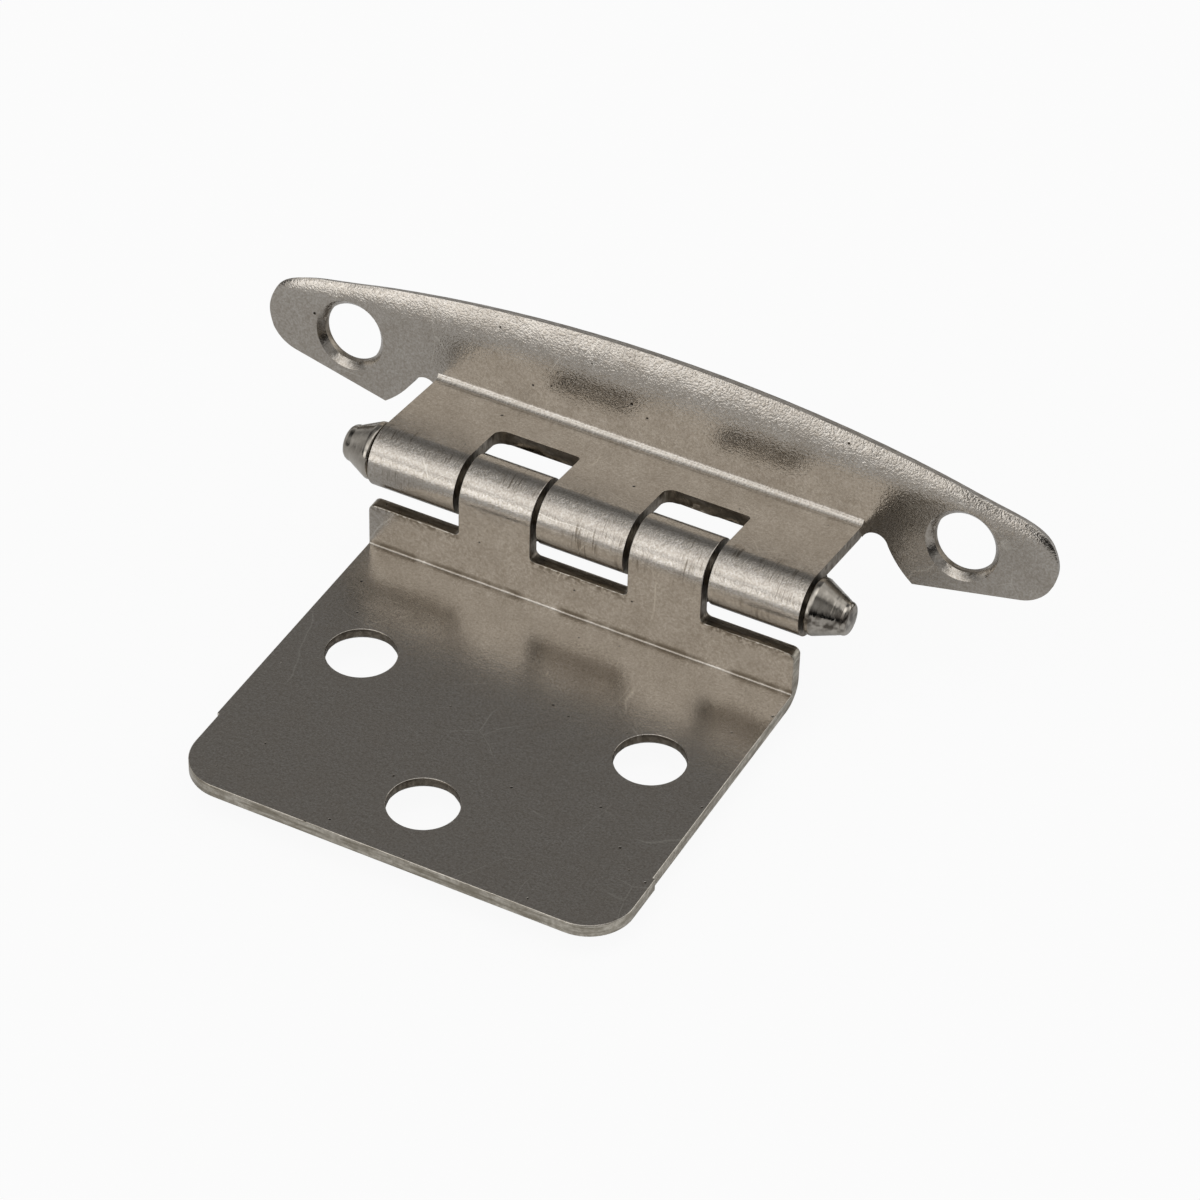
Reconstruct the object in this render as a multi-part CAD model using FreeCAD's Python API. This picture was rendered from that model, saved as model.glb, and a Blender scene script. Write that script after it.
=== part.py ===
import FreeCAD, Part
import os
from math import acos, asin, atan2, cos, degrees, hypot, radians, sin, sqrt, tan

# Face-frame cabinet hinge: a door wing and a frame wing stamped from steel sheet,
# rolled into five knuckles on a plain pin that carries a turned tip at each end.
# Origin: midway between the two rear screw holes, on the face that lies on the door.
# X runs along the pin, Y towards the frame wing, Z out of the door wing's plate.

# sheet, pin and knuckles
sheet = 1.15
knuckle_radius = 2.65
pin_clearance = 0.05
roll_end_gap = 0.1
bore_radius = knuckle_radius - sheet
pin_radius = bore_radius - pin_clearance
roll_turn = 360 - degrees(acos((bore_radius - roll_end_gap) / knuckle_radius))

# knuckles along the pin, from the middle outwards
middle_knuckle_length = 7.6
door_knuckle_length = 6.45
end_knuckle_length = 7.75
knuckle_gap = 0.5
middle_knuckle_end = middle_knuckle_length / 2
door_knuckle_start = middle_knuckle_end + knuckle_gap
door_knuckle_end = door_knuckle_start + door_knuckle_length
end_knuckle_start = door_knuckle_end + knuckle_gap
strap_half_width = end_knuckle_start + end_knuckle_length

# door wing
plate_side_set_in = 0.1
plate_half_width = strap_half_width - plate_side_set_in
plate_depth = 30.8
plate_corner = 3.8
cut_off_length = 7.3
cut_off_shift = 0.2
pin_above_plate = 7.35
bend_inner = 0.15
bend_outer = 2.0
notch_clearance = 0.7
notch_floor = pin_above_plate - knuckle_radius - notch_clearance
notch_corner = 0.5
flange_corner = 0.6
door_hole_radius = 2.85
door_hole_half_spacing = 12.7
rear_holes_from_flange = 12.0
front_hole_from_front = 6.05
door_countersink_depth = 0.4

# frame wing: the strap, from the pin to the fold
strap_reach = 8.6
fold_inner = 0.6
window_clearance = 1.9
window_left_corner = 0.9
window_right_corner = 0.4

# frame wing: the crescent, its heights from the strap's upper face; the slots and ears
# are measured outwards from the strap's side, and the tips from the screw holes
hole_from_strap = 8.3
left_end_from_hole = 7.6
right_end_from_hole = 8.0
wing_rise = 8.25
tip_radius = 3.4
tip_height = 1.42
ear_corner = (4.65, -3.81)
ear_side = (3.2, -2.5)
slot_outer_side = (2.25, -1.2)
slot_top = (1.1, -0.4)
frame_hole_radius = 2.6
frame_hole_height = 1.1
frame_countersink_depth = 0.58
countersink_slope = tan(radians(41))
frame_hole_half_spacing = strap_half_width + hole_from_strap
wing_left_end = frame_hole_half_spacing + left_end_from_hole
wing_right_end = frame_hole_half_spacing + right_end_from_hole
wing_turned_down = 7.3

# rolled rim of the frame wing: share of the way to the tip's centre, or angle round the
# tip, then the width of the roll and how far the sheet leans back at its edge
rim_on_top = [(0, 4.1, 18), (0.29, 3.95, 18), (0.51, 3.5, 19), (0.7, 2.8, 20), (0.86, 1.9, 23)]
rim_on_tip = [(78, 1.5, 25), (55, 1.25, 26), (32, 1.1, 25), (10, 1.0, 20), (-12, 0.85, 11), (-32, 0.7, 3)]

# turned tips; the right one is blunter than the left one
tip_gap = 0.2
tip_base_land = 0.5
tip_base_rounding = 0.2
tip_bore_depth = 1.6
left_tip_radius = 2.42
left_tip_end_radius = 1.2
left_tip_length = 2.98
left_tip_rounding = 0.5
right_tip_radius = 2.35
right_tip_end_radius = 1.2
right_tip_length = 3.15
right_tip_rounding = 0.3

flange_y = rear_holes_from_flange
pin_y = flange_y + knuckle_radius
pin_centre = FreeCAD.Vector(0, pin_y, pin_above_plate)
along_x = FreeCAD.Vector(1, 0, 0)


def line(start, end):
    return Part.LineSegment(start, end).toShape()


def arc(start, middle, end):
    return Part.Arc(start, middle, end).toShape()


def start_of(edge):
    return edge.valueAt(edge.FirstParameter)


def end_of(edge):
    return edge.valueAt(edge.LastParameter)


# An arc seen along the pin, angles counted from Y towards Z.
def side_arc(centre, radius, first_angle, last_angle):
    points = []
    for angle in (first_angle, (first_angle + last_angle) / 2, last_angle):
        reach = FreeCAD.Vector(0, cos(radians(angle)), sin(radians(angle)))
        points.append(centre + reach * radius)
    return arc(*points)


# Closes a run of edges into one face, with straight edges across the open stretches.
def face_round(edges):
    outline = []
    for edge, following in zip(edges, edges[1:] + edges[:1]):
        outline.append(edge)
        if end_of(edge).distanceToPoint(start_of(following)) > 1e-6:
            outline.append(line(end_of(edge), start_of(following)))
    return Part.Face(Part.Wire(outline))


# The sheet meets the knuckle at start_angle and curls round the pin, one way or the other.
def rolled_edge(start_angle, way):
    end_angle = start_angle + way * roll_turn
    outside = side_arc(pin_centre, knuckle_radius, start_angle, end_angle)
    inside = side_arc(pin_centre, bore_radius, end_angle, start_angle)
    return [outside, inside]


def along_pin(section, start, end):
    return section.translated(along_x * start).extrude(along_x * (end - start))


def block(low, high):
    size = [high[axis] - low[axis] for axis in range(3)]
    return Part.makeBox(size[0], size[1], size[2], FreeCAD.Vector(*low))


# Rounds the short sheet edges that run along one axis at the given places.
def round_sheet_edges(shape, direction, places, radius):
    picked = []
    for edge in shape.Edges:
        if abs(edge.Length - sheet) > 1e-4:
            continue
        run = end_of(edge) - start_of(edge)
        if abs(abs(run.dot(direction)) - sheet) > 1e-4:
            continue
        middle = (start_of(edge) + end_of(edge)) * 0.5
        offset = middle - direction * middle.dot(direction)
        if any(offset.distanceToPoint(place) < 1e-3 for place in places):
            picked.append(edge)
    return shape.makeFillet(radius, picked)


# Door wing: plate, bend and short flange, whose two tongues roll over the pin
def build_door_wing():
    plate_front = flange_y - plate_depth
    outer_bend = side_arc(
        FreeCAD.Vector(0, flange_y + sheet - bend_outer, bend_outer - sheet), bend_outer, 0, -90)
    inner_bend = side_arc(
        FreeCAD.Vector(0, flange_y - bend_inner, bend_inner), bend_inner, -90, 0)
    front_edge = line(FreeCAD.Vector(0, plate_front, -sheet), FreeCAD.Vector(0, plate_front, 0))
    section = face_round([front_edge, inner_bend] + rolled_edge(180, -1) + [outer_bend])
    wide = plate_half_width + 2 * cut_off_shift
    wing = along_pin(section, -wide, wide)

    # outline seen from above: the front end is cut a little to one side of the strip
    corner = plate_corner * (1 - sqrt(0.5))
    right = plate_half_width + cut_off_shift
    left = cut_off_shift - plate_half_width
    step_y = plate_front + cut_off_length
    low = -2 * sheet
    rear = flange_y + 3 * knuckle_radius
    right_corner = arc(
        FreeCAD.Vector(right, plate_front + plate_corner, low),
        FreeCAD.Vector(right - corner, plate_front + corner, low),
        FreeCAD.Vector(right - plate_corner, plate_front, low))
    left_corner = arc(
        FreeCAD.Vector(left + plate_corner, plate_front, low),
        FreeCAD.Vector(left + corner, plate_front + corner, low),
        FreeCAD.Vector(left, plate_front + plate_corner, low))
    left_step = line(FreeCAD.Vector(left, step_y, low), FreeCAD.Vector(-plate_half_width, step_y, low))
    rear_line = line(FreeCAD.Vector(-plate_half_width, rear, low), FreeCAD.Vector(plate_half_width, rear, low))
    right_step = line(FreeCAD.Vector(plate_half_width, step_y, low), FreeCAD.Vector(right, step_y, low))
    outline = face_round([right_corner, left_corner, left_step, rear_line, right_step])
    wing = wing.common(outline.extrude(FreeCAD.Vector(0, 0, 6 * knuckle_radius)))

    # notches between the tongues, where the frame wing's knuckles turn
    gaps = [
        (-2 * plate_half_width, -door_knuckle_end),
        (-door_knuckle_start, door_knuckle_start),
        (door_knuckle_end, 2 * plate_half_width)]
    for gap_start, gap_end in gaps:
        wing = wing.cut(block((gap_start, flange_y - sheet, notch_floor), (gap_end, rear, 2 * rear)))
    inner_corners = []
    outer_corners = []
    for side in (-1, 1):
        for tongue_side in (door_knuckle_start, door_knuckle_end):
            inner_corners.append(FreeCAD.Vector(side * tongue_side, 0, notch_floor))
        outer_corners.append(FreeCAD.Vector(side * plate_half_width, 0, notch_floor))
    along_y = FreeCAD.Vector(0, 1, 0)
    wing = round_sheet_edges(wing, along_y, inner_corners, notch_corner)
    wing = round_sheet_edges(wing, along_y, outer_corners, flange_corner)

    # screw holes, lightly countersunk on the side of the screw heads
    front_hole_y = plate_front + front_hole_from_front
    for x, y in ((-door_hole_half_spacing, 0), (door_hole_half_spacing, 0), (0, front_hole_y)):
        wing = wing.cut(Part.makeCylinder(door_hole_radius, 4 * sheet, FreeCAD.Vector(x, y, -2 * sheet)))
        mouth = door_hole_radius + 2 * door_countersink_depth * countersink_slope
        sink = Part.makeCone(
            mouth, door_hole_radius, 2 * door_countersink_depth,
            FreeCAD.Vector(x, y, -sheet - door_countersink_depth))
        wing = wing.cut(sink)
    return wing


# A point of the frame wing's plate: along the pin, up the plate and behind its front face.
def on_wing(x, rise, depth=0.0):
    return FreeCAD.Vector(x, pin_y + strap_reach + depth, pin_above_plate + knuckle_radius + rise)


def beside_strap(side, place):
    return on_wing(side * (strap_half_width + place[0]), place[1])


# Places on one half of the plate's outline, each with the direction into the plate,
# the width of the rolled rim there and its lean.
def rim_stations(side, wing_end):
    tip_x = wing_end - tip_radius
    fall = wing_rise - tip_height
    top_radius = (tip_x ** 2 + fall ** 2 - tip_radius ** 2) / (2 * (fall - tip_radius))
    stations = []
    for share, width, lean in rim_on_top:
        x = share * tip_x
        angle = asin(x / top_radius)
        rise = wing_rise - top_radius * (1 - cos(angle))
        stations.append((side * x, rise, -side * sin(angle), -cos(angle), width, lean))
    for turned, width, lean in rim_on_tip:
        angle = radians(turned)
        stations.append((
            side * (tip_x + tip_radius * cos(angle)), tip_height + tip_radius * sin(angle),
            -side * cos(angle), -sin(angle), width, lean))
    return stations


# The rim's section at one station: front face, cut edge, back face, and the line on
# which it joins the flat plate.
def rim_section(x, rise, inward_x, inward_rise, width, lean):
    front_bend = width / sin(radians(lean))
    edges = []
    for bend, depth in ((front_bend, 0), (front_bend - sheet, sheet)):
        points = []
        for angle in (0, lean / 2, lean):
            from_edge = width - bend * sin(radians(angle))
            behind = depth + bend * (1 - cos(radians(angle)))
            points.append(on_wing(x + inward_x * from_edge, rise + inward_rise * from_edge, behind))
        edges.append(points)
    front, back = edges
    return Part.Wire([
        arc(*front), line(front[2], back[2]), arc(*back[::-1]), line(back[0], front[0])])


# Lower half of the plate's outline on one side: tip, straight underside, ear and slot.
def lower_outline(side, wing_end, rim_end_angle):
    tip_x = wing_end - tip_radius
    to_tip = (tip_x - strap_half_width - ear_corner[0], tip_height - ear_corner[1])
    slope = atan2(to_tip[1], to_tip[0]) - asin(tip_radius / hypot(*to_tip))
    touch_angle = degrees(slope) - 90
    tip_points = []
    for angle in (rim_end_angle, (rim_end_angle + touch_angle) / 2, touch_angle):
        tip_points.append(on_wing(
            side * (tip_x + tip_radius * cos(radians(angle))), tip_height + tip_radius * sin(radians(angle))))
    corner = beside_strap(side, ear_corner)
    slot_outer = beside_strap(side, slot_outer_side)
    slot_inner = on_wing(side * strap_half_width, slot_outer_side[1])
    fold_end = on_wing(side * strap_half_width, fold_inner)
    return [
        arc(*tip_points),
        line(tip_points[2], corner),
        arc(corner, beside_strap(side, ear_side), slot_outer),
        arc(slot_outer, beside_strap(side, slot_top), slot_inner),
        line(slot_inner, fold_end)]


# Frame wing: strap rolled into three knuckles, folded up into a long curved plate
def build_frame_wing():
    fold_centre = pin_centre + FreeCAD.Vector(0, strap_reach - fold_inner, knuckle_radius + fold_inner)
    section = face_round(
        [side_arc(fold_centre, fold_inner, 0, -90)]
        + rolled_edge(90, 1)
        + [side_arc(fold_centre, fold_inner + sheet, -90, 0)])
    strap = along_pin(section, -strap_half_width, strap_half_width)
    window_end = pin_y + knuckle_radius + window_clearance
    low = pin_above_plate - 2 * knuckle_radius
    high = pin_above_plate + 2 * knuckle_radius
    upwards = FreeCAD.Vector(0, 0, 1)
    for left, right in ((-end_knuckle_start, -middle_knuckle_end), (middle_knuckle_end, end_knuckle_start)):
        strap = strap.cut(block((left, pin_y - 2 * knuckle_radius, low), (right, window_end, high)))
        for x, radius in ((left, window_left_corner), (right, window_right_corner)):
            strap = round_sheet_edges(strap, upwards, [FreeCAD.Vector(x, window_end, 0)], radius)

    left_half = rim_stations(-1, wing_left_end)
    right_half = rim_stations(1, wing_right_end)
    stations = left_half[:0:-1] + right_half
    rim = Part.makeLoft([rim_section(*station) for station in stations], True, False)
    rim_ends = []
    for x, rise, inward_x, inward_rise, width, lean in (stations[0], stations[-1]):
        rim_ends.append(on_wing(x + inward_x * width, rise + inward_rise * width))
    joint_line = None
    for edge in rim.Edges:
        reached = sorted((edge.Vertexes[0].Point, edge.Vertexes[-1].Point), key=lambda point: point.x)
        if all(point.distanceToPoint(rim_end) < 1e-4 for point, rim_end in zip(reached, rim_ends)):
            joint_line = edge
    outline = [joint_line]
    for side, wing_end, rim_end in ((-1, wing_left_end, rim_ends[0]), (1, wing_right_end, rim_ends[1])):
        lower = lower_outline(side, wing_end, rim_on_tip[-1][0])
        outline.append(line(rim_end, start_of(lower[0])))
        outline.extend(lower)
    outline.append(line(on_wing(-strap_half_width, fold_inner), on_wing(strap_half_width, fold_inner)))
    plate = Part.Face(Part.Wire(Part.__sortEdges__(outline))).extrude(FreeCAD.Vector(0, sheet, 0))
    wing = strap.fuse([plate, rim]).removeSplitter()

    # screw holes, countersunk from the side that is seen
    for side in (-1, 1):
        mouth = on_wing(side * frame_hole_half_spacing, frame_hole_height, -sheet)
        inward = FreeCAD.Vector(0, 1, 0)
        wing = wing.cut(Part.makeCylinder(frame_hole_radius, 3 * sheet, mouth, inward))
        mouth_radius = frame_hole_radius + 2 * frame_countersink_depth * countersink_slope
        sink = Part.makeCone(
            mouth_radius, frame_hole_radius, 2 * frame_countersink_depth,
            on_wing(side * frame_hole_half_spacing, frame_hole_height, -frame_countersink_depth), inward)
        wing = wing.cut(sink)
    wing.rotate(pin_centre, along_x, -wing_turned_down)
    return wing


# Pin: a plain rod whose ends are held in the tips
def build_hinge_pin():
    half_length = strap_half_width + tip_gap + tip_bore_depth
    start = pin_centre - along_x * half_length
    return Part.makeCylinder(pin_radius, 2 * half_length, start, along_x)


# Tip: turned with a short rounded base and a cone, and bored to press on the pin
def build_tip(side, base_radius, end_radius, length, rounding):
    base = strap_half_width + tip_gap
    base_middle = base + tip_base_rounding * (1 - sqrt(0.5))
    cone_start = base + tip_base_land
    end = base + length
    cone_angle = atan2(base_radius - end_radius, end - rounding - cone_start)
    corner_x = end - rounding
    corner_radius = end_radius - rounding * cos(cone_angle)
    middle_angle = (cone_angle + radians(90)) / 2

    def at(x, radius):
        return pin_centre + FreeCAD.Vector(side * x, 0, radius)

    def round_the_end(angle):
        return at(corner_x + rounding * sin(angle), corner_radius + rounding * cos(angle))

    profile = face_round([
        arc(at(base, base_radius - tip_base_rounding),
            at(base_middle, base_radius - base_middle + base),
            at(base + tip_base_rounding, base_radius)),
        line(at(base + tip_base_rounding, base_radius), at(cone_start, base_radius)),
        arc(round_the_end(cone_angle), round_the_end(middle_angle), round_the_end(radians(90))),
        line(at(end, 0), at(base + tip_bore_depth, 0)),
        line(at(base + tip_bore_depth, pin_radius), at(base, pin_radius))])
    return profile.revolve(pin_centre, along_x, 360)


os.makedirs("parts", exist_ok=True)
pieces = {
    "door_wing": build_door_wing(),
    "frame_wing": build_frame_wing(),
    "hinge_pin": build_hinge_pin(),
    "left_tip": build_tip(
        -1, left_tip_radius, left_tip_end_radius, left_tip_length, left_tip_rounding),
    "right_tip": build_tip(
        1, right_tip_radius, right_tip_end_radius, right_tip_length, right_tip_rounding)}
for name, shape in pieces.items():
    solid = shape.Solids[0]
    solid.exportStep("parts/" + name + ".step")
    print(name, len(shape.Solids), solid.isValid(), round(solid.Volume, 2), solid.BoundBox)
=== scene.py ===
import math

import bmesh
import bpy
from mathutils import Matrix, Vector, noise
from mathutils.bvhtree import BVHTree


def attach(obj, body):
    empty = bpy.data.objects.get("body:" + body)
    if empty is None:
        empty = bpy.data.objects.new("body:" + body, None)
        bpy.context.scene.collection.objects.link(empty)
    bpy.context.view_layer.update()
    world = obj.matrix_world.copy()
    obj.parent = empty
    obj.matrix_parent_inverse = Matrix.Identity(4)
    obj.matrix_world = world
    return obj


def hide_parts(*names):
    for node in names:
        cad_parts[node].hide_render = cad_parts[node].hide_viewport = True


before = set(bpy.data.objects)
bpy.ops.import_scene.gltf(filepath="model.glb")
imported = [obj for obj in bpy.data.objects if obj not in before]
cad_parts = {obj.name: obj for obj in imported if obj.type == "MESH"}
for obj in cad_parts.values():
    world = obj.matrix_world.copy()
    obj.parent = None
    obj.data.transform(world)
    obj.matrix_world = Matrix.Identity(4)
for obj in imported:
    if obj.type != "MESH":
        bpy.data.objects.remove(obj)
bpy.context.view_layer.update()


# The room: a white table under a product studio's lights. A wide white screen stands in
# front and to the left, near the table, a weaker soft box hangs overhead, and the back is
# dim. The table lies 1.85 mm below the plate, just under the closed hinge's lowest point.
camera_place = (0.132374, -0.247388, 0.249488)
camera_turn = (49.61392, -1.27330, 27.77113)
lens_mm = 145.74
film_mm = 36
table_height = -0.003
table_size = 6.0
table_white = "#dedede"
table_seen_white = 0.93
table_shine_white = 0.05
lamp_white = "#ffffff"
# Soft lights, in degrees: height above the table, direction round it (from the front by
# the right), half width; then the strength. Nothing shines from just right of the front.
soft_lights = (
    (5, 335, 22, 1.7), (28, 331, 24, 0.85), (50, 330, 26, 0.85),
    (28, 306, 24, 0.35), (50, 300, 26, 0.35), (28, 354, 24, 0.2), (50, 0, 26, 0.75),
    (72, 0, 26, 0.65), (72, 120, 26, 1.0), (72, 240, 26, 0.3), (90, 0, 26, 0.9),
    (8, 135, 30, 1.1), (8, 180, 30, 0.75), (8, 225, 30, 0.6), (8, 270, 30, 0.65),
    (36, 45, 29, 0.35), (36, 90, 29, 0.4), (36, 135, 29, 1.1), (36, 180, 29, 0.2),
    (36, 225, 29, 0.2))


def linear(colour):
    values = []
    for start in (1, 3, 5):
        value = int(colour[start:start + 2], 16) / 255
        values.append(value / 12.92 if value <= 0.04045 else ((value + 0.055) / 1.055) ** 2.4)
    return (*values, 1.0)


# Adds one node: settings by property name, values and links by input name or number.
def add_node(tree, kind, inputs=None, **settings):
    node = tree.nodes.new(kind)
    for name, value in settings.items():
        setattr(node, name, value)
    for name, value in (inputs or {}).items():
        if isinstance(value, bpy.types.NodeSocket):
            tree.links.new(value, node.inputs[name])
        else:
            node.inputs[name].default_value = value
    return node


def deselect_all():
    for thing in bpy.context.selected_objects:
        thing.select_set(False)


deselect_all()
lens = bpy.data.cameras.new("camera")
lens.lens = lens_mm
lens.sensor_width = film_mm
lens.clip_start = 0.01
camera = bpy.data.objects.new("camera", lens)
bpy.context.scene.collection.objects.link(camera)
camera.location = camera_place
camera.rotation_euler = [math.radians(angle) for angle in camera_turn]
bpy.context.scene.camera = camera
bpy.context.scene.view_settings.view_transform = "Standard"

# The camera sees the table almost white, and the metal mirrors little of its glow.
bpy.ops.mesh.primitive_plane_add(size=table_size, location=(0, 0, table_height))
table = bpy.context.object
table.name = "table"
table_paint = bpy.data.materials.new("white table")
table_paint.use_nodes = True
tree = table_paint.node_tree
tree.nodes.clear()
ray = add_node(tree, "ShaderNodeLightPath")
seen = add_node(tree, "ShaderNodeMath", {
    0: ray.outputs["Is Camera Ray"], 1: table_seen_white}, operation="MULTIPLY")
glow_share = add_node(tree, "ShaderNodeMath", {
    0: ray.outputs["Is Glossy Ray"], 1: table_shine_white, 2: seen.outputs[0]},
    operation="MULTIPLY_ADD")
paint = add_node(tree, "ShaderNodeBsdfDiffuse", {"Color": linear(table_white)})
glow = add_node(tree, "ShaderNodeEmission", {"Color": linear(lamp_white), "Strength": 1.0})
mixed = add_node(tree, "ShaderNodeMixShader", {
    0: glow_share.outputs[0], 1: paint.outputs[0], 2: glow.outputs[0]})
add_node(tree, "ShaderNodeOutputMaterial", {"Surface": mixed.outputs[0]})
table.data.materials.append(table_paint)

# The lights are soft round patches of the sky. The camera sees plain white behind them.
world = bpy.data.worlds.new("studio")
world.use_nodes = True
bpy.context.scene.world = world
tree = world.node_tree
tree.nodes.clear()
ray = add_node(tree, "ShaderNodeLightPath")
sky = add_node(tree, "ShaderNodeTexCoord")
way = add_node(tree, "ShaderNodeVectorMath", {0: sky.outputs["Generated"]}, operation="NORMALIZE")
total = None
for height, direction, half_width, strength in soft_lights:
    up, round_table = math.radians(height), math.radians(direction)
    towards = (math.cos(up) * math.sin(round_table),
               -math.cos(up) * math.cos(round_table),
               math.sin(up))
    across = add_node(tree, "ShaderNodeVectorMath", {
        0: way.outputs[0], 1: towards}, operation="DOT_PRODUCT")
    light = add_node(tree, "ShaderNodeMapRange", {
        "Value": across.outputs["Value"],
        "From Min": math.cos(math.radians(half_width)), "From Max": 1.0,
        "To Min": 0.0, "To Max": strength}, interpolation_type="SMOOTHSTEP")
    if total is None:
        total = light.outputs[0]
    else:
        total = add_node(tree, "ShaderNodeMath", {
            0: total, 1: light.outputs[0]}, operation="ADD").outputs[0]
lights = add_node(tree, "ShaderNodeBackground", {"Color": linear(lamp_white), "Strength": total})
white = add_node(tree, "ShaderNodeBackground", {"Color": linear(lamp_white), "Strength": 1.0})
mixed = add_node(tree, "ShaderNodeMixShader", {
    0: ray.outputs["Is Camera Ray"], 1: lights.outputs[0], 2: white.outputs[0]})
add_node(tree, "ShaderNodeOutputWorld", {"Surface": mixed.outputs[0]})


# The door wing: one stamping of steel sheet. Its plate is screwed to the back of the
# door, a short flange stands up from it, and two tongues are rolled over the pin.
# It is blanked and pierced in a press, bent, rolled, then plated with satin nickel.
sheet = 0.00115
edge_break = 0.00008
pin_y, pin_z = 0.01465, 0.00735
knuckle_radius = 0.00265
notch_floor = 0.004
floor_heights = (notch_floor - 0.0001, notch_floor + 0.0001)
door_holes = ((-0.0127, 0.0, 0.0), (0.0127, 0.0, 0.0), (0.0, -0.01275, 0.0))
door_facing = (0, 0, 1)
hole_reach, ring_reach = 0.004, 0.0038
torn_wall_least_width = 0.004
tear_fade = 0.0008
waves_per_metre, ripples_per_metre = 330, 1300
nickel = "#c7c2bb"
nickel_cloudy = "#b0a9a0"
nickel_stained = "#968d81"
# The next colour darkens the scuffs and the specks under the notches, and is the painted shade in
# the bend's crease.
nickel_dark_marks_and_painted_shade = "#665c4e"
scratch_bright = "#dfdad0"
pit_dark = "#3a352e"
cut_steel = "#dad4c8"
cut_steel_dark = "#8f8778"
# The pierced edge's colours are the sheared edge's, darkened as painted shade.
pierced_steel_painted_shade = "#a0978a"
pierced_steel_dark_painted_shade = "#655c50"


# Copies a CAD node, joins its loose triangles and tells the sheared faces, which go
# right through the sheet, from the broad ones: a broad face has the other one behind it.
# `holes` are the screw holes' centres and `facing` their way out. The holes' walls, and the
# sheared faces that the last argument picks, take the pierced edge: painted shade. Slivers
# that are left are merged away.
def pressed_sheet(node, name, holes, facing, gets_painted_shade):
    joined, sliver, just_inside = 2e-6, 2e-5, 2e-6
    # The third finish is the sheared edge's darker copy, painted shade.
    plated, sheared, pierced = 0, 1, 2
    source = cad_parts[node]
    piece = source.copy()
    piece.data = source.data.copy()
    piece.name = name
    piece.data.materials.clear()
    bpy.context.scene.collection.objects.link(piece)
    deselect_all()
    piece.select_set(True)
    bpy.context.view_layer.objects.active = piece
    bpy.ops.object.mode_set(mode="EDIT")
    bpy.ops.mesh.select_all(action="SELECT")
    bpy.ops.mesh.remove_doubles(threshold=joined)
    bpy.ops.object.mode_set(mode="OBJECT")
    for finish in (satin_nickel, sheared_edge, pierced_edge_painted_shade):
        piece.data.materials.append(finish)
    form = bmesh.new()
    form.from_mesh(piece.data)
    form.normal_update()
    skin = BVHTree.FromBMesh(form)
    for face in form.faces:
        middle = face.calc_center_median()
        inwards = -face.normal
        hit = skin.ray_cast(middle + inwards * just_inside, inwards)
        depth = hit[3] if hit[0] is not None else 1.0
        if any((middle - Vector(hole)).length < hole_reach for hole in holes):
            face.material_index = plated if abs(face.normal.dot(Vector(facing))) > 0.3 else pierced
        elif depth > 1.22 * sheet:
            face.material_index = pierced if gets_painted_shade(middle) else sheared
    form.to_mesh(piece.data)
    form.free()
    bpy.ops.object.mode_set(mode="EDIT")
    bpy.ops.mesh.select_all(action="SELECT")
    bpy.ops.mesh.dissolve_limited(angle_limit=math.radians(0.3), delimit={"MATERIAL"})
    bpy.ops.mesh.remove_doubles(threshold=sliver)
    bpy.ops.object.mode_set(mode="OBJECT")
    return piece


# Rounds the screw holes and their countersinks: their rings are divided between the
# CAD's points and the new points are set out to the ring's own radius.
def round_holes(piece, holes, facing):
    facing = Vector(facing).normalized()
    near, shortest = 4e-6, 1e-5

    def outwards(point, hole):
        offset = point - Vector(hole)
        return offset - facing * offset.dot(facing)

    def is_ring(edge, hole):
        first, last = (vertex.co for vertex in edge.verts)
        first_radius, last_radius = outwards(first, hole).length, outwards(last, hole).length
        return (edge.calc_length() > shortest and first_radius < ring_reach
                and abs(first_radius - last_radius) < near
                and abs((first - last).dot(facing)) < near)

    form = bmesh.new()
    form.from_mesh(piece.data)
    for hole in holes:
        rings = [edge for edge in form.edges if is_ring(edge, hole)]
        radii = {round(outwards(edge.verts[0].co, hole).length, 6) for edge in rings}
        cut = bmesh.ops.subdivide_edges(form, edges=rings, cuts=3)
        for vertex in {item for item in cut["geom_inner"] if isinstance(item, bmesh.types.BMVert)}:
            way = outwards(vertex.co, hole)
            ring = min(radii, key=lambda radius: abs(radius - way.length))
            vertex.co += way.normalized() * (ring - way.length)
    form.to_mesh(piece.data)
    form.free()


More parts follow.
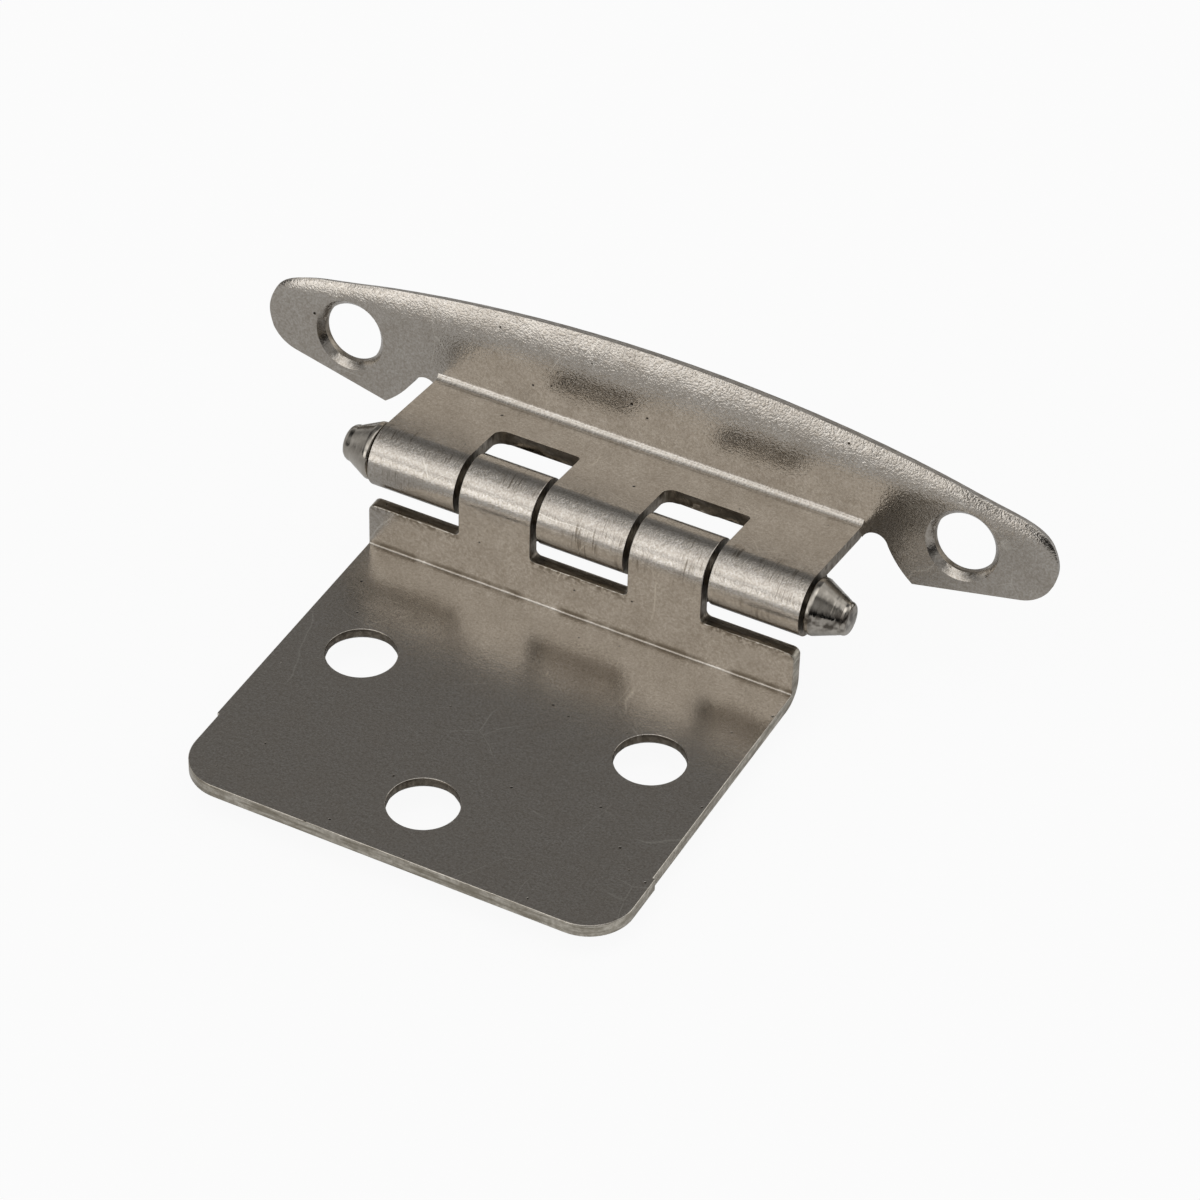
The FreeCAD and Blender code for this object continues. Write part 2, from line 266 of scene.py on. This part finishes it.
# Tears the far side of sheared walls, as a worn punch does. Each pierced wall that faces
# `normal` between two heights is divided into columns, and towards its torn side the
# metal stands out, or has broken away where `pull` is below zero, unevenly and fading at
# the wall's ends. `least` is the part of the pull that is everywhere.
def tear_walls(piece, normal, torn, heights, pull, least):
    normal, torn = Vector(normal).normalized(), Vector(torn).normalized()
    near, upright, at_end = 2e-5, 1e-6, 1e-5
    pierced = 2
    form = bmesh.new()
    form.from_mesh(piece.data)
    form.normal_update()

    def width(edge):
        return abs((edge.verts[0].co - edge.verts[1].co).x)

    def is_wall(face):
        return (face.material_index == pierced and len(face.verts) == 4
                and face.normal.dot(normal) > 0.999
                and max(width(edge) for edge in face.edges) > torn_wall_least_width
                and heights[0] < face.calc_center_median().z < heights[1])

    walls = [face for face in form.faces if is_wall(face)]
    level = walls[0].calc_center_median().dot(normal)
    spans = [(min(vertex.co.x for vertex in face.verts), max(vertex.co.x for vertex in face.verts))
             for face in walls]
    top = min(vertex.co.dot(torn) for face in walls for vertex in face.verts)

    def on_wall(vertex):
        return (abs(vertex.co.dot(normal) - level) < near
                and -near < vertex.co.dot(torn) - top < sheet + near)

    long_edges = [edge for edge in form.edges if width(edge) > torn_wall_least_width
                  and any(face in walls for face in edge.link_faces)]
    bmesh.ops.subdivide_edges(form, edges=long_edges, cuts=21)
    columns = [edge for edge in form.edges if on_wall(edge.verts[0]) and on_wall(edge.verts[1])
               and width(edge) < upright and edge.calc_length() > 0.9 * sheet]
    bmesh.ops.subdivide_edges(form, edges=columns, cuts=2)
    for vertex in form.verts:
        from_end = max(min(vertex.co.x - start, end - vertex.co.x) for start, end in spans)
        if on_wall(vertex) and from_end > at_end:
            depth = (vertex.co.dot(torn) - top) / sheet
            fade = min(1.0, from_end / tear_fade)
            wave = noise.noise(Vector((vertex.co.x * waves_per_metre, 0.5, depth)))
            ripple = noise.noise(Vector((vertex.co.x * ripples_per_metre, 3.5, 2 * depth)))
            uneven = max(0.0, least + 1.2 * wave + 0.35 * ripple)
            vertex.co += normal * pull * depth * fade * uneven
    form.to_mesh(piece.data)
    form.free()


# Breaks the sheared edges a little, as the plating barrel does, and keeps flat faces flat.
# `clamped` shrinks the whole edge break to what the shortest edges leave room for.
def finish_pressed(piece, clamped):
    deselect_all()
    piece.select_set(True)
    bpy.context.view_layer.objects.active = piece
    bevel = piece.modifiers.new("edge break", "BEVEL")
    bevel.width = edge_break
    bevel.segments = 2
    bevel.limit_method = "ANGLE"
    bevel.angle_limit = math.radians(40)
    bevel.use_clamp_overlap = clamped
    bpy.ops.object.modifier_apply(modifier=bevel.name)
    bpy.ops.object.shade_smooth_by_angle(angle=math.radians(35))
    weighted = piece.modifiers.new("flat faces stay flat", "WEIGHTED_NORMAL")
    weighted.weight = 100
    weighted.keep_sharp = True
    bpy.ops.object.modifier_apply(modifier=weighted.name)


# Finishes a bare metal: colours laid over one another, each with its share from 0 to 1,
# a roughness, and bumps laid over one another, each with its height in millimetres.
def finish_metal(tree, colour, layers, roughness, bumps):
    colour = linear(colour)
    for share, shade in layers:
        colour = add_node(tree, "ShaderNodeMix", {
            0: share, 6: colour, 7: linear(shade)}, data_type="RGBA").outputs[2]
    relief = {}
    for shape, height_mm in bumps:
        bump = add_node(tree, "ShaderNodeBump", {
            "Height": shape, "Strength": 1.0, "Distance": height_mm / 1000, **relief})
        relief = {"Normal": bump.outputs["Normal"]}
    metal = add_node(tree, "ShaderNodeBsdfPrincipled", {
        "Base Color": colour, "Metallic": 1.0, "Roughness": roughness, **relief})
    add_node(tree, "ShaderNodeOutputMaterial", {"Surface": metal.outputs[0]})


# Satin nickel on rolled sheet: cloudy patches, waves that break up reflections, a fine
# grain and specks of stain. A noise's scale is 1000 over one blotch's width in millimetres.
clouds_mm, waves_mm, specks_mm, grain_mm = 2.6, 0.65, 0.34, 0.17

satin_nickel = bpy.data.materials.new("satin nickel plated sheet")
satin_nickel.use_nodes = True
tree = satin_nickel.node_tree
tree.nodes.clear()
place = add_node(tree, "ShaderNodeTexCoord").outputs["Object"]
where = add_node(tree, "ShaderNodeSeparateXYZ", {0: place})
clouds = add_node(tree, "ShaderNodeTexNoise", {
    "Vector": place, "Scale": 1000 / clouds_mm, "Detail": 2.0, "Roughness": 0.6}).outputs["Fac"]
waves = add_node(tree, "ShaderNodeTexNoise", {
    "Vector": place, "Scale": 1000 / waves_mm, "Detail": 1.0, "Roughness": 0.5}).outputs["Fac"]
grain = add_node(tree, "ShaderNodeTexNoise", {
    "Vector": place, "Scale": 1000 / grain_mm, "Detail": 1.0, "Roughness": 0.7}).outputs["Fac"]
specks = add_node(tree, "ShaderNodeTexNoise", {
    "Vector": place, "Scale": 1000 / specks_mm, "Detail": 1.0, "Roughness": 0.5}).outputs["Fac"]

# Pits: at most one in each cell of 1.7 mm, up to 0.3 mm across.
pit_spacing_mm, pit_radius_mm, pit_slope_mm = 1.7, 0.1445, 0.034
pit_cells = add_node(tree, "ShaderNodeTexVoronoi", {
    "Vector": place, "Scale": 1000 / pit_spacing_mm})
pit_chance = add_node(tree, "ShaderNodeSeparateColor", {"Color": pit_cells.outputs["Color"]})
pit_size = add_node(tree, "ShaderNodeMapRange", {
    "Value": pit_chance.outputs[0], "From Min": 0.3, "From Max": 1.0,
    "To Min": 0.0, "To Max": pit_radius_mm / pit_spacing_mm})
pit_depth = add_node(tree, "ShaderNodeMath", {
    0: pit_size.outputs[0], 1: pit_cells.outputs["Distance"]}, operation="SUBTRACT")
pits = add_node(tree, "ShaderNodeMapRange", {
    "Value": pit_depth.outputs[0], "From Min": 0.0,
    "From Max": pit_slope_mm / pit_spacing_mm}).outputs[0]

# Scratches: some stretches of a wandering net of hairlines. A mark that has more than one
# condition is a chain of ramps, each of which reaches as far as the ramp before it.
net_mm, patch_mm, scratch_mm = 9, 7, 0.054
net_wander = 0.004
scratch_share = 0.5
bend = add_node(tree, "ShaderNodeTexNoise", {"Vector": place, "Scale": 1000 / net_mm})
bend = add_node(tree, "ShaderNodeVectorMath", {
    0: bend.outputs["Color"], "Scale": net_wander}, operation="SCALE")
bent_place = add_node(tree, "ShaderNodeVectorMath", {
    0: place, 1: bend.outputs[0]}, operation="ADD")
net = add_node(tree, "ShaderNodeTexVoronoi", {
    "Vector": bent_place.outputs[0], "Scale": 1000 / net_mm}, feature="DISTANCE_TO_EDGE")
hairline = add_node(tree, "ShaderNodeMapRange", {
    "Value": net.outputs["Distance"], "From Min": 0.0, "From Max": scratch_mm / net_mm,
    "To Min": scratch_share, "To Max": 0.0})
patches = add_node(tree, "ShaderNodeTexNoise", {
    "Vector": place, "Scale": 1000 / patch_mm, "Detail": 1.0, "Roughness": 0.5})
scratches = add_node(tree, "ShaderNodeMapRange", {
    "Value": patches.outputs["Fac"], "From Min": 0.5, "From Max": 0.6,
    "To Min": 0.0, "To Max": hairline.outputs[0]}).outputs[0]

# Dark specks just under the floors of the flange's three notches, the middle one and the two
# beyond the tongues.
middle_notch_half, side_notch_start = 0.0044, 0.0106
notch_speck_share = 0.85
from_middle = add_node(tree, "ShaderNodeMath", {0: where.outputs["X"]}, operation="ABSOLUTE")
in_middle = add_node(tree, "ShaderNodeMapRange", {
    "Value": from_middle.outputs[0], "From Min": middle_notch_half - 0.0003,
    "From Max": middle_notch_half, "To Min": notch_speck_share, "To Max": 0.0})
at_sides = add_node(tree, "ShaderNodeMapRange", {
    "Value": from_middle.outputs[0], "From Min": side_notch_start,
    "From Max": side_notch_start + 0.0003, "To Min": 0.0, "To Max": notch_speck_share})
at_notches = add_node(tree, "ShaderNodeMath", {
    0: in_middle.outputs[0], 1: at_sides.outputs[0]}, operation="ADD")
up_to_floor = add_node(tree, "ShaderNodeMapRange", {
    "Value": where.outputs["Z"], "From Min": notch_floor - 0.0008, "From Max": notch_floor,
    "To Min": 0.0, "To Max": at_notches.outputs[0]})
not_above = add_node(tree, "ShaderNodeMapRange", {
    "Value": where.outputs["Z"], "From Min": notch_floor + 0.0001,
    "From Max": notch_floor + 0.0003, "To Min": up_to_floor.outputs[0], "To Max": 0.0})
notch_specks = add_node(tree, "ShaderNodeMapRange", {
    "Value": specks, "From Min": 0.38, "From Max": 0.62,
    "To Min": 0.0, "To Max": not_above.outputs[0]}).outputs[0]

# A dark, broken line of painted shade lies in the crease of the bend, just above the plate's face.
crease_shade_share = 0.8
over_plate = add_node(tree, "ShaderNodeMapRange", {
    "Value": where.outputs["Z"], "From Min": 0.00001, "From Max": 0.00009,
    "To Min": 0.0, "To Max": crease_shade_share})
in_bend = add_node(tree, "ShaderNodeMapRange", {
    "Value": where.outputs["Z"], "From Min": 0.0003, "From Max": 0.0006,
    "To Min": over_plate.outputs[0], "To Max": 0.0})
painted_crease_shade = add_node(tree, "ShaderNodeMapRange", {
    "Value": clouds, "From Min": 0.35, "From Max": 0.55,
    "To Min": 0.0, "To Max": in_bend.outputs[0]}).outputs[0]

# Scuffs: streaks of wear round the knuckles, in some of the clouds.
scuff_mm = 0.13
scuff_share = 0.8
across_pin = add_node(tree, "ShaderNodeCombineXYZ", {
    "Y": where.outputs["Y"], "Z": where.outputs["Z"]})
from_pin = add_node(tree, "ShaderNodeVectorMath", {
    0: across_pin.outputs[0], 1: (0.0, pin_y, pin_z)}, operation="DISTANCE")
on_knuckle = add_node(tree, "ShaderNodeMapRange", {
    "Value": from_pin.outputs["Value"], "From Min": knuckle_radius + 0.00002,
    "From Max": knuckle_radius + 0.0001, "To Min": scuff_share, "To Max": 0.0})
round_knuckle = add_node(tree, "ShaderNodeVectorMath", {
    0: place, 1: (1.0, 0.07, 0.07)}, operation="MULTIPLY")
streaks = add_node(tree, "ShaderNodeTexNoise", {
    "Vector": round_knuckle.outputs[0], "Scale": 1000 / scuff_mm, "Detail": 1.0,
    "Roughness": 0.5})
streaked = add_node(tree, "ShaderNodeMapRange", {
    "Value": streaks.outputs["Fac"], "From Min": 0.54, "From Max": 0.74,
    "To Min": 0.0, "To Max": on_knuckle.outputs[0]})
scuffs = add_node(tree, "ShaderNodeMapRange", {
    "Value": clouds, "From Min": 0.46, "From Max": 0.62,
    "To Min": 0.0, "To Max": streaked.outputs[0]}).outputs[0]

# The crescent's rim, where the sheet was drawn back, is glossier and coarser in grain.
drawn_start, drawn_end = 0.0096, 0.0125
cloud_gloss = add_node(tree, "ShaderNodeMapRange", {
    "Value": clouds, "From Min": 0.3, "From Max": 0.7, "To Min": 0.19, "To Max": 0.25})
drawn_gloss = add_node(tree, "ShaderNodeMapRange", {
    "Value": where.outputs["Z"], "From Min": drawn_start, "From Max": drawn_end,
    "To Min": 0.0, "To Max": -0.04})
gloss = add_node(tree, "ShaderNodeMath", {
    0: cloud_gloss.outputs[0], 1: drawn_gloss.outputs[0]}, operation="ADD")
coarser = add_node(tree, "ShaderNodeMapRange", {
    "Value": where.outputs["Z"], "From Min": drawn_start, "From Max": drawn_end,
    "To Min": 1.0, "To Max": 2.0})
drawn_grain = add_node(tree, "ShaderNodeMath", {
    0: grain, 1: coarser.outputs[0]}, operation="MULTIPLY")

cloud_share = add_node(tree, "ShaderNodeMapRange", {
    "Value": clouds, "From Min": 0.35, "From Max": 0.7, "To Min": 0.0, "To Max": 0.45})
speck_share = add_node(tree, "ShaderNodeMapRange", {
    "Value": specks, "From Min": 0.42, "From Max": 0.8, "To Min": 0.0, "To Max": 0.42})
grain_share = add_node(tree, "ShaderNodeMapRange", {
    "Value": grain, "From Min": 0.2, "From Max": 0.8, "To Min": 0.0, "To Max": 0.75})
finish_metal(
    tree, nickel,
    layers=(
        (cloud_share.outputs[0], nickel_cloudy), (speck_share.outputs[0], nickel_stained),
        (grain_share.outputs[0], nickel_stained), (scuffs, nickel_dark_marks_and_painted_shade),
        (painted_crease_shade, nickel_dark_marks_and_painted_shade), (notch_specks, nickel_dark_marks_and_painted_shade), (scratches, scratch_bright),
        (pits, pit_dark)),
    roughness=gloss.outputs[0],
    bumps=((waves, 0.012), (drawn_grain.outputs[0], 0.013), (pits, -0.02)))


# Sheared edges: the punch leaves bands along the edge, 0.2 to 0.4 mm wide, the smooth
# one above the torn one. The pierced edge is a darker copy of this finish: painted shade
# on the walls of the openings, and on every sheared face of the frame wing.
band_mm, torn_mm = 0.3, 0.5


def sheared_steel(name, light, dark, along_edge):
    finish = bpy.data.materials.new(name)
    finish.use_nodes = True
    tree = finish.node_tree
    tree.nodes.clear()
    place = add_node(tree, "ShaderNodeTexCoord").outputs["Object"]
    drawn = add_node(tree, "ShaderNodeVectorMath", {0: place, 1: along_edge}, operation="MULTIPLY")
    bands = add_node(tree, "ShaderNodeTexNoise", {
        "Vector": drawn.outputs[0], "Scale": 1000 / band_mm, "Detail": 2.0,
        "Roughness": 0.6}).outputs["Fac"]
    torn = add_node(tree, "ShaderNodeTexNoise", {
        "Vector": place, "Scale": 1000 / torn_mm, "Detail": 2.0,
        "Roughness": 0.65}).outputs["Fac"]
    torn_share = add_node(tree, "ShaderNodeMapRange", {
        "Value": torn, "From Min": 0.35, "From Max": 0.75, "To Min": 0.0, "To Max": 0.7})
    band_share = add_node(tree, "ShaderNodeMapRange", {
        "Value": bands, "From Min": 0.4, "From Max": 0.65, "To Min": 0.0, "To Max": 0.8})
    gloss = add_node(tree, "ShaderNodeMapRange", {
        "Value": torn, "From Min": 0.3, "From Max": 0.7, "To Min": 0.26, "To Max": 0.45})
    finish_metal(
        tree, light,
        layers=((torn_share.outputs[0], dark), (band_share.outputs[0], dark)),
        roughness=gloss.outputs[0],
        bumps=((torn, 0.025), (bands, 0.05)))
    return finish


sheared_edge = sheared_steel(
    "sheared edge of the sheet", cut_steel, cut_steel_dark, along_edge=(0.1, 0.1, 1.0))
pierced_edge_painted_shade = sheared_steel(
    "pierced edge of the sheet, painted shade", pierced_steel_painted_shade, pierced_steel_dark_painted_shade, along_edge=(0.1, 1.0, 0.3))

# On the door wing, the holes' walls and the sheared faces above the notch floors, the flange's top
# and its notches, take the pierced edge's painted shade.
door_wing = pressed_sheet("door_wing", "door_wing_plated", door_holes, door_facing,
                          gets_painted_shade=lambda spot: spot.z > floor_heights[0])
round_holes(door_wing, door_holes, door_facing)
tear_walls(door_wing, normal=(0, 0, 1), torn=(0, -1, 0), heights=floor_heights,
           pull=0.00009, least=0.15)
finish_pressed(door_wing, clamped=False)
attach(door_wing, "door_wing")
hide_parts("door_wing")


# The frame wing: the other stamping. Three knuckles are rolled from its strap, two
# windows let the door wing's tongues through, and a long crescent, folded up at the
# strap's end, is drawn back along its rim. It is screwed to the face of the cabinet.
wing_tilt = math.radians(7.3)
frame_holes = ((-0.0273, 0.0245, 0.00987), (0.0273, 0.0245, 0.00987))
frame_facing = (0, -math.cos(wing_tilt), math.sin(wing_tilt))
frame_underside = (0, -math.sin(wing_tilt), -math.cos(wing_tilt))
window_wall_heights = (0.0083, 0.0095)

# On the frame wing, every sheared face takes the pierced edge's painted shade.
frame_wing = pressed_sheet("frame_wing", "frame_wing_plated", frame_holes, frame_facing,
                           gets_painted_shade=lambda spot: True)
round_holes(frame_wing, frame_holes, frame_facing)
tear_walls(frame_wing, normal=frame_facing, torn=frame_underside, heights=window_wall_heights,
           pull=-0.00032, least=0.6)
# The edge break stays hair-fine, because the thin ends of the drawn rim leave no room.
finish_pressed(frame_wing, clamped=True)
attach(frame_wing, "frame_wing")
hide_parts("frame_wing")


# The pin: drawn steel wire, pressed through the five knuckles and into both tips. It
# shows only as a dark glint in the gaps between the knuckles.
wire_grey = "#b5afa5"
wire_dull = "#8b857a"
die_line_mm, dull_mm = 0.12, 0.9

# Bright drawn wire: the die leaves fine lines along it, and handling leaves dull patches.
drawn_wire = bpy.data.materials.new("drawn steel wire")
drawn_wire.use_nodes = True
tree = drawn_wire.node_tree
tree.nodes.clear()
place = add_node(tree, "ShaderNodeTexCoord").outputs["Object"]
drawn = add_node(tree, "ShaderNodeVectorMath", {
    0: place, 1: (0.06, 1.0, 1.0)}, operation="MULTIPLY")
lines = add_node(tree, "ShaderNodeTexNoise", {
    "Vector": drawn.outputs[0], "Scale": 1000 / die_line_mm, "Detail": 3.0,
    "Roughness": 0.6}).outputs["Fac"]
dull = add_node(tree, "ShaderNodeTexNoise", {
    "Vector": place, "Scale": 1000 / dull_mm, "Detail": 2.0, "Roughness": 0.5})
dull_share = add_node(tree, "ShaderNodeMapRange", {
    "Value": dull.outputs["Fac"], "From Min": 0.4, "From Max": 0.65})
gloss = add_node(tree, "ShaderNodeMapRange", {
    "Value": lines, "From Min": 0.3, "From Max": 0.7, "To Min": 0.22, "To Max": 0.36})
finish_metal(
    tree, wire_grey, layers=((dull_share.outputs[0], wire_dull),),
    roughness=gloss.outputs[0], bumps=((lines, 0.006),))

hinge_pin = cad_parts["hinge_pin"]
hinge_pin.data.materials.clear()
hinge_pin.data.materials.append(drawn_wire)


# The tips: two small cones of turned steel, nickel plated, pressed on the pin's ends to
# keep it in place. The lathe leaves fine rings; on the right one it chattered in a band.
tip_start = 0.0192
tip_land = 0.0005
tip_base_rounding = 0.0002
tip_end_radius = 0.0012
tip_facets = 72
tip_nickel = "#c4beb5"
# The next colour is the chatter marks' painted dark reflection. The one after it darkens the lathe
# rings, and it is also a painted dark reflection on the tips' upper halves.
tip_shadow = "#625c55"
tip_rings_and_painted_reflection = "#979188"
ring_mm, chatter_mm = 0.17, 0.6

turned_nickel = bpy.data.materials.new("nickel plated turned steel")
turned_nickel.use_nodes = True
tree = turned_nickel.node_tree
tree.nodes.clear()
place = add_node(tree, "ShaderNodeTexCoord").outputs["Object"]
where = add_node(tree, "ShaderNodeSeparateXYZ", {0: place})
turned = add_node(tree, "ShaderNodeVectorMath", {
    0: place, 1: (1.0, 0.1, 0.1)}, operation="MULTIPLY")
rings = add_node(tree, "ShaderNodeTexNoise", {
    "Vector": turned.outputs[0], "Scale": 1000 / ring_mm, "Detail": 1.0,
    "Roughness": 0.6}).outputs["Fac"]
chatter = add_node(tree, "ShaderNodeTexNoise", {
    "Vector": place, "Scale": 1000 / chatter_mm, "Detail": 1.0,
    "Roughness": 0.6}).outputs["Fac"]

# The chatter's band is on the right tip, a little above its middle. Its rings are deeper,
# and its marks are painted dark, a painted reflection. Both tips are painted darker from the
# middle up, a painted reflection too.
band_height = pin_z + 0.0002
over_band = add_node(tree, "ShaderNodeMath", {
    0: where.outputs["Z"], 1: band_height}, operation="SUBTRACT")
off_band = add_node(tree, "ShaderNodeMath", {0: over_band.outputs[0]}, operation="ABSOLUTE")
on_right = add_node(tree, "ShaderNodeMapRange", {
    "Value": where.outputs["X"], "From Min": 0.0, "From Max": 0.001})
chattered = add_node(tree, "ShaderNodeMapRange", {
    "Value": off_band.outputs[0], "From Min": 0.0004, "From Max": 0.0011,
    "To Min": on_right.outputs[0], "To Max": 0.0}).outputs[0]
chatter_painted_reflection_share = add_node(tree, "ShaderNodeMapRange", {
    "Value": chatter, "From Min": 0.42, "From Max": 0.62, "To Min": 0.0, "To Max": chattered})
blotchy = add_node(tree, "ShaderNodeMapRange", {
    "Value": chatter, "From Min": 0.3, "From Max": 0.6, "To Min": 0.5, "To Max": 1.0})
upper_painted_reflection_share = add_node(tree, "ShaderNodeMapRange", {
    "Value": where.outputs["Z"], "From Min": pin_z - 0.0002, "From Max": pin_z + 0.0008,
    "To Min": 0.0, "To Max": blotchy.outputs[0]})
ring_share = add_node(tree, "ShaderNodeMapRange", {
    "Value": rings, "From Min": 0.35, "From Max": 0.7, "To Min": 0.0, "To Max": 0.35})
deeper = add_node(tree, "ShaderNodeMapRange", {
    "Value": chattered, "From Min": 0.0, "From Max": 1.0, "To Min": 0.12, "To Max": 1.0})
cut_rings = add_node(tree, "ShaderNodeMath", {
    0: rings, 1: deeper.outputs[0]}, operation="MULTIPLY")
gloss = add_node(tree, "ShaderNodeMapRange", {
    "Value": chatter, "From Min": 0.3, "From Max": 0.7, "To Min": 0.12, "To Max": 0.24})
finish_metal(
    tree, tip_nickel,
    layers=(
        (ring_share.outputs[0], tip_rings_and_painted_reflection), (upper_painted_reflection_share.outputs[0], tip_rings_and_painted_reflection),
        (chatter_painted_reflection_share.outputs[0], tip_shadow)),
    roughness=gloss.outputs[0],
    bumps=((cut_rings.outputs[0], 0.05), (chatter, 0.012)))


# Turns a tip from a disc: each station, a distance along the axis and a radius, is
# extruded outwards and scaled. The rounded base and a short cylinder come first, then the
# cone with its lathe rings, then the rounded end. A bent tip's stations sink, and lean
# a little sideways, towards its end.
def turned_tip(name, side, radius, length, end_rounding, ring_step, ring_depth, sink=0.0):
    base_steps, end_steps = 4, 5
    land_end, cone_start = tip_land - 0.00008, tip_land + 0.00006
    ring_cells_per_metre = 2500
    lean = 0.4
    stations = []
    for step in range(base_steps + 1):
        angle = math.radians(90 * step / base_steps)
        stations.append((tip_base_rounding * (1 - math.cos(angle)),
                         radius - tip_base_rounding * (1 - math.sin(angle))))
    stations.append((land_end, radius))
    slope = math.atan2(radius - tip_end_radius, length - tip_land)
    cone_end = length - end_rounding * (1 + math.sin(slope))
    count = int((cone_end - tip_land) / ring_step * 2)
    for step in range(count):
        along = cone_start + (cone_end - cone_start) * step / count
        wide = radius - (along - tip_land) * math.tan(slope)
        uneven = 0.5 + noise.noise(Vector((along * ring_cells_per_metre, side * 7, 0)))
        stations.append((along, wide - (ring_depth * uneven if step % 2 else 0)))
    cone_end_radius = radius - (cone_end - tip_land) * math.tan(slope)
    flat_radius = tip_end_radius - 0.6 * end_rounding
    for step in range(end_steps + 1):
        angle = math.radians(90) * step / end_steps
        stations.append((cone_end + (length - cone_end) * math.sin(angle),
                         cone_end_radius - (cone_end_radius - flat_radius) * (1 - math.cos(angle))))
    deselect_all()
    bpy.ops.mesh.primitive_circle_add(
        vertices=tip_facets, radius=stations[0][1], fill_type="NGON",
        location=(side * tip_start, pin_y, pin_z), rotation=(0, math.radians(90), 0))
    tip = bpy.context.object
    tip.name = name
    bpy.ops.object.transform_apply(location=True, rotation=True, scale=True)
    bpy.ops.object.mode_set(mode="EDIT")
    bpy.ops.mesh.select_all(action="SELECT")
    for (before, wide_before), (along, wide) in zip(stations, stations[1:]):
        drop = -sink * max(0.0, along - before) / length
        bpy.ops.mesh.extrude_region_move(
            TRANSFORM_OT_translate={"value": (side * (along - before), lean * drop, drop)})
        shrink = wide / wide_before
        fallen = -sink * along / length
        bpy.ops.transform.resize(value=(1, shrink, shrink), center_override=(
            side * (tip_start + along), pin_y + lean * fallen, pin_z + fallen))
    bpy.ops.mesh.select_all(action="SELECT")
    bpy.ops.mesh.normals_make_consistent(inside=False)
    bpy.ops.object.mode_set(mode="OBJECT")
    bpy.ops.object.shade_smooth_by_angle(angle=math.radians(50))
    tip.data.materials.append(turned_nickel)
    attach(tip, "frame_wing")
    return tip


left_tip = turned_tip("left_tip_turned", side=-1, radius=0.00242, length=0.00298,
                      end_rounding=0.0005, ring_step=0.00024, ring_depth=0.000015)
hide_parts("left_tip")
right_tip = turned_tip("right_tip_turned", side=1, radius=0.00235, length=0.00315,
                       end_rounding=0.0003, ring_step=0.0002, ring_depth=0.00004, sink=0.0002)
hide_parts("right_tip")
